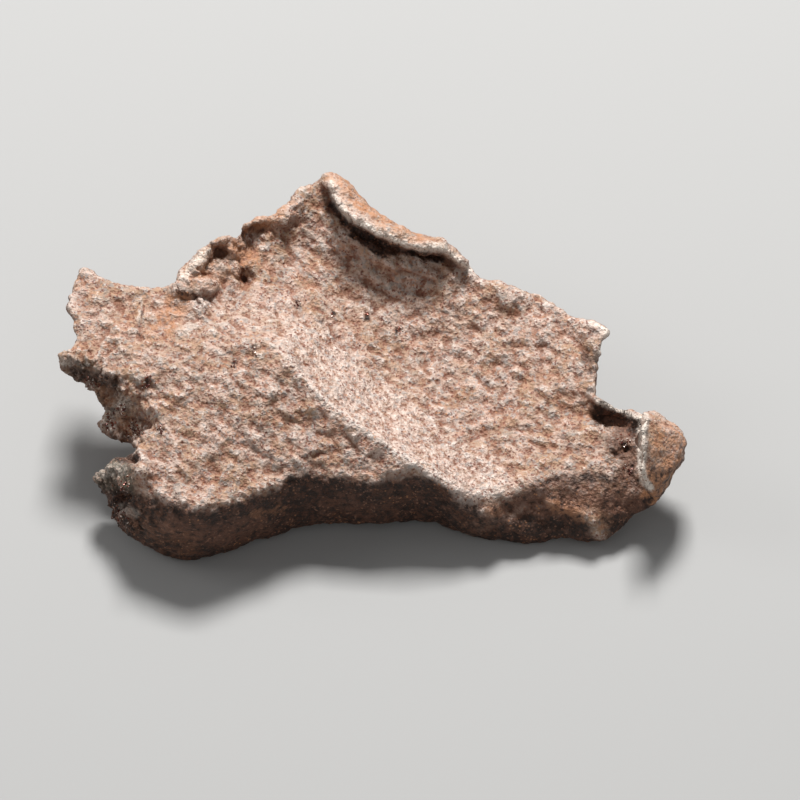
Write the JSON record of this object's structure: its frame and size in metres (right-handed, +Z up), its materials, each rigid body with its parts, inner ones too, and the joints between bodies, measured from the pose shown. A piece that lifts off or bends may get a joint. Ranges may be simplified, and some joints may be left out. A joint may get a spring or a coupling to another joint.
{
  "type": "iron meteorite",
  "caption": "Torn, twisted plate of rusty iron meteorite with a slanting ridge, a broad dish, a curled lip, a folded tab and a thick front wall.",
  "frame": {"origin": "bottom centre of the bounding box, on the surface that the meteorite lies on", "axes": "+X along the plate from the torn end to the folded tab, +Y away from the thick front wall towards the curled lip, +Z up out of the dished face"},
  "size_m": [0.044, 0.0266, 0.0116],
  "materials": {
    "rusty_iron": "rusty brown iron with a fine hammered skin, pale worn rims and darker sides"
  },
  "bodies": {
    "root": {"meteorite": "rusty_iron"}
  },
  "joints": []
}
